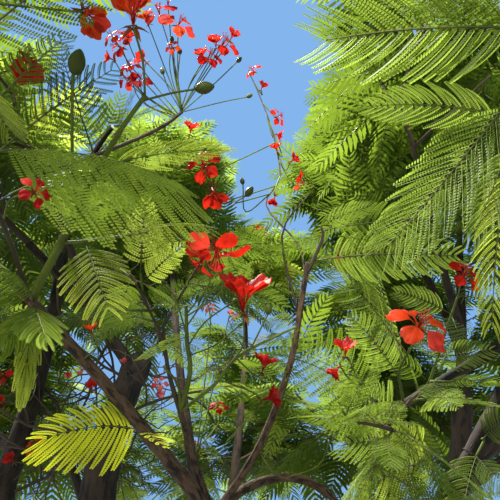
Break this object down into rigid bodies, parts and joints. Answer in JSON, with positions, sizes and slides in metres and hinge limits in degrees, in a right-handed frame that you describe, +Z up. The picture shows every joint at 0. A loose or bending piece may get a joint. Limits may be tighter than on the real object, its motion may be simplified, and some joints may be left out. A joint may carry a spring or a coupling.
{
  "type": "whole flame tree",
  "caption": "Broad-crowned flowering shade tree: flared trunk, spreading boughs, some sawn off, and separate masses of feathery leaves and red blossom.",
  "frame": {"origin": "middle of the flat cut under the trunk, at ground level", "axes": "+Z up along the trunk; -Y is the side that the picture was taken from, +X is to its right"},
  "size_m": [5.7869, 5.917, 4.7285],
  "materials": {
    "bark": "matte grey-brown bark, ridged on the trunk, with lenticels and pale lichen on the limbs",
    "foliage": "thin feathery leaves, mid green with yellow-green where the sun shines through, and satin scarlet blossom",
    "blossom": "satin scarlet petals, orange where the sun shines through, one pale streaked petal a head",
    "cut_wood": "weathered saw cut, pale and cracked, with rings"
  },
  "bodies": {
    "root": {"trunk": "bark", "front_bough": "bark", "near_left_limb": "bark", "near_right_limb": "bark", "near_arched_limb": "bark", "near_centre_limb": "bark", "sawn_bough": "bark", "sawn_side_limb": "bark", "high_left_limb": "bark", "left_bough": "bark", "left_upright": "bark", "hooked_stub": "bark", "left_low_limb": "bark", "left_back_limb": "bark", "left_high_limb": "bark", "right_bough": "bark", "right_side_limb": "bark", "right_crown_limb": "bark", "high_right_limb": "bark", "right_far_limb": "bark", "right_front_bough": "bark", "drooping_limb": "bark", "right_outer_limb": "bark", "right_edge_limb": "bark", "front_right_limb": "bark", "left_front_bough": "bark", "front_left_limb": "bark", "back_left_bough": "bark", "back_bough": "bark", "back_high_limb": "bark", "centre_high_limb": "bark", "back_right_bough": "bark", "back_right_high_limb": "bark", "near_left_foliage": "foliage", "near_right_foliage": "foliage", "near_arched_foliage": "foliage", "near_centre_foliage": "foliage", "sawn_side_foliage": "foliage", "high_left_foliage": "foliage", "left_upright_foliage": "foliage", "left_low_foliage": "foliage", "left_back_foliage": "foliage", "left_high_foliage": "foliage", "right_side_foliage": "foliage", "right_crown_foliage": "foliage", "high_right_foliage": "foliage", "right_far_foliage": "foliage", "right_front_foliage": "foliage", "drooping_foliage": "foliage", "right_outer_foliage": "foliage", "right_edge_foliage": "foliage", "front_right_foliage": "foliage", "left_front_foliage": "foliage", "front_left_foliage": "foliage", "back_left_foliage": "foliage", "back_foliage": "foliage", "back_high_foliage": "foliage", "centre_high_foliage": "foliage", "back_right_foliage": "foliage", "back_right_high_foliage": "foliage"}
  },
  "joints": []
}
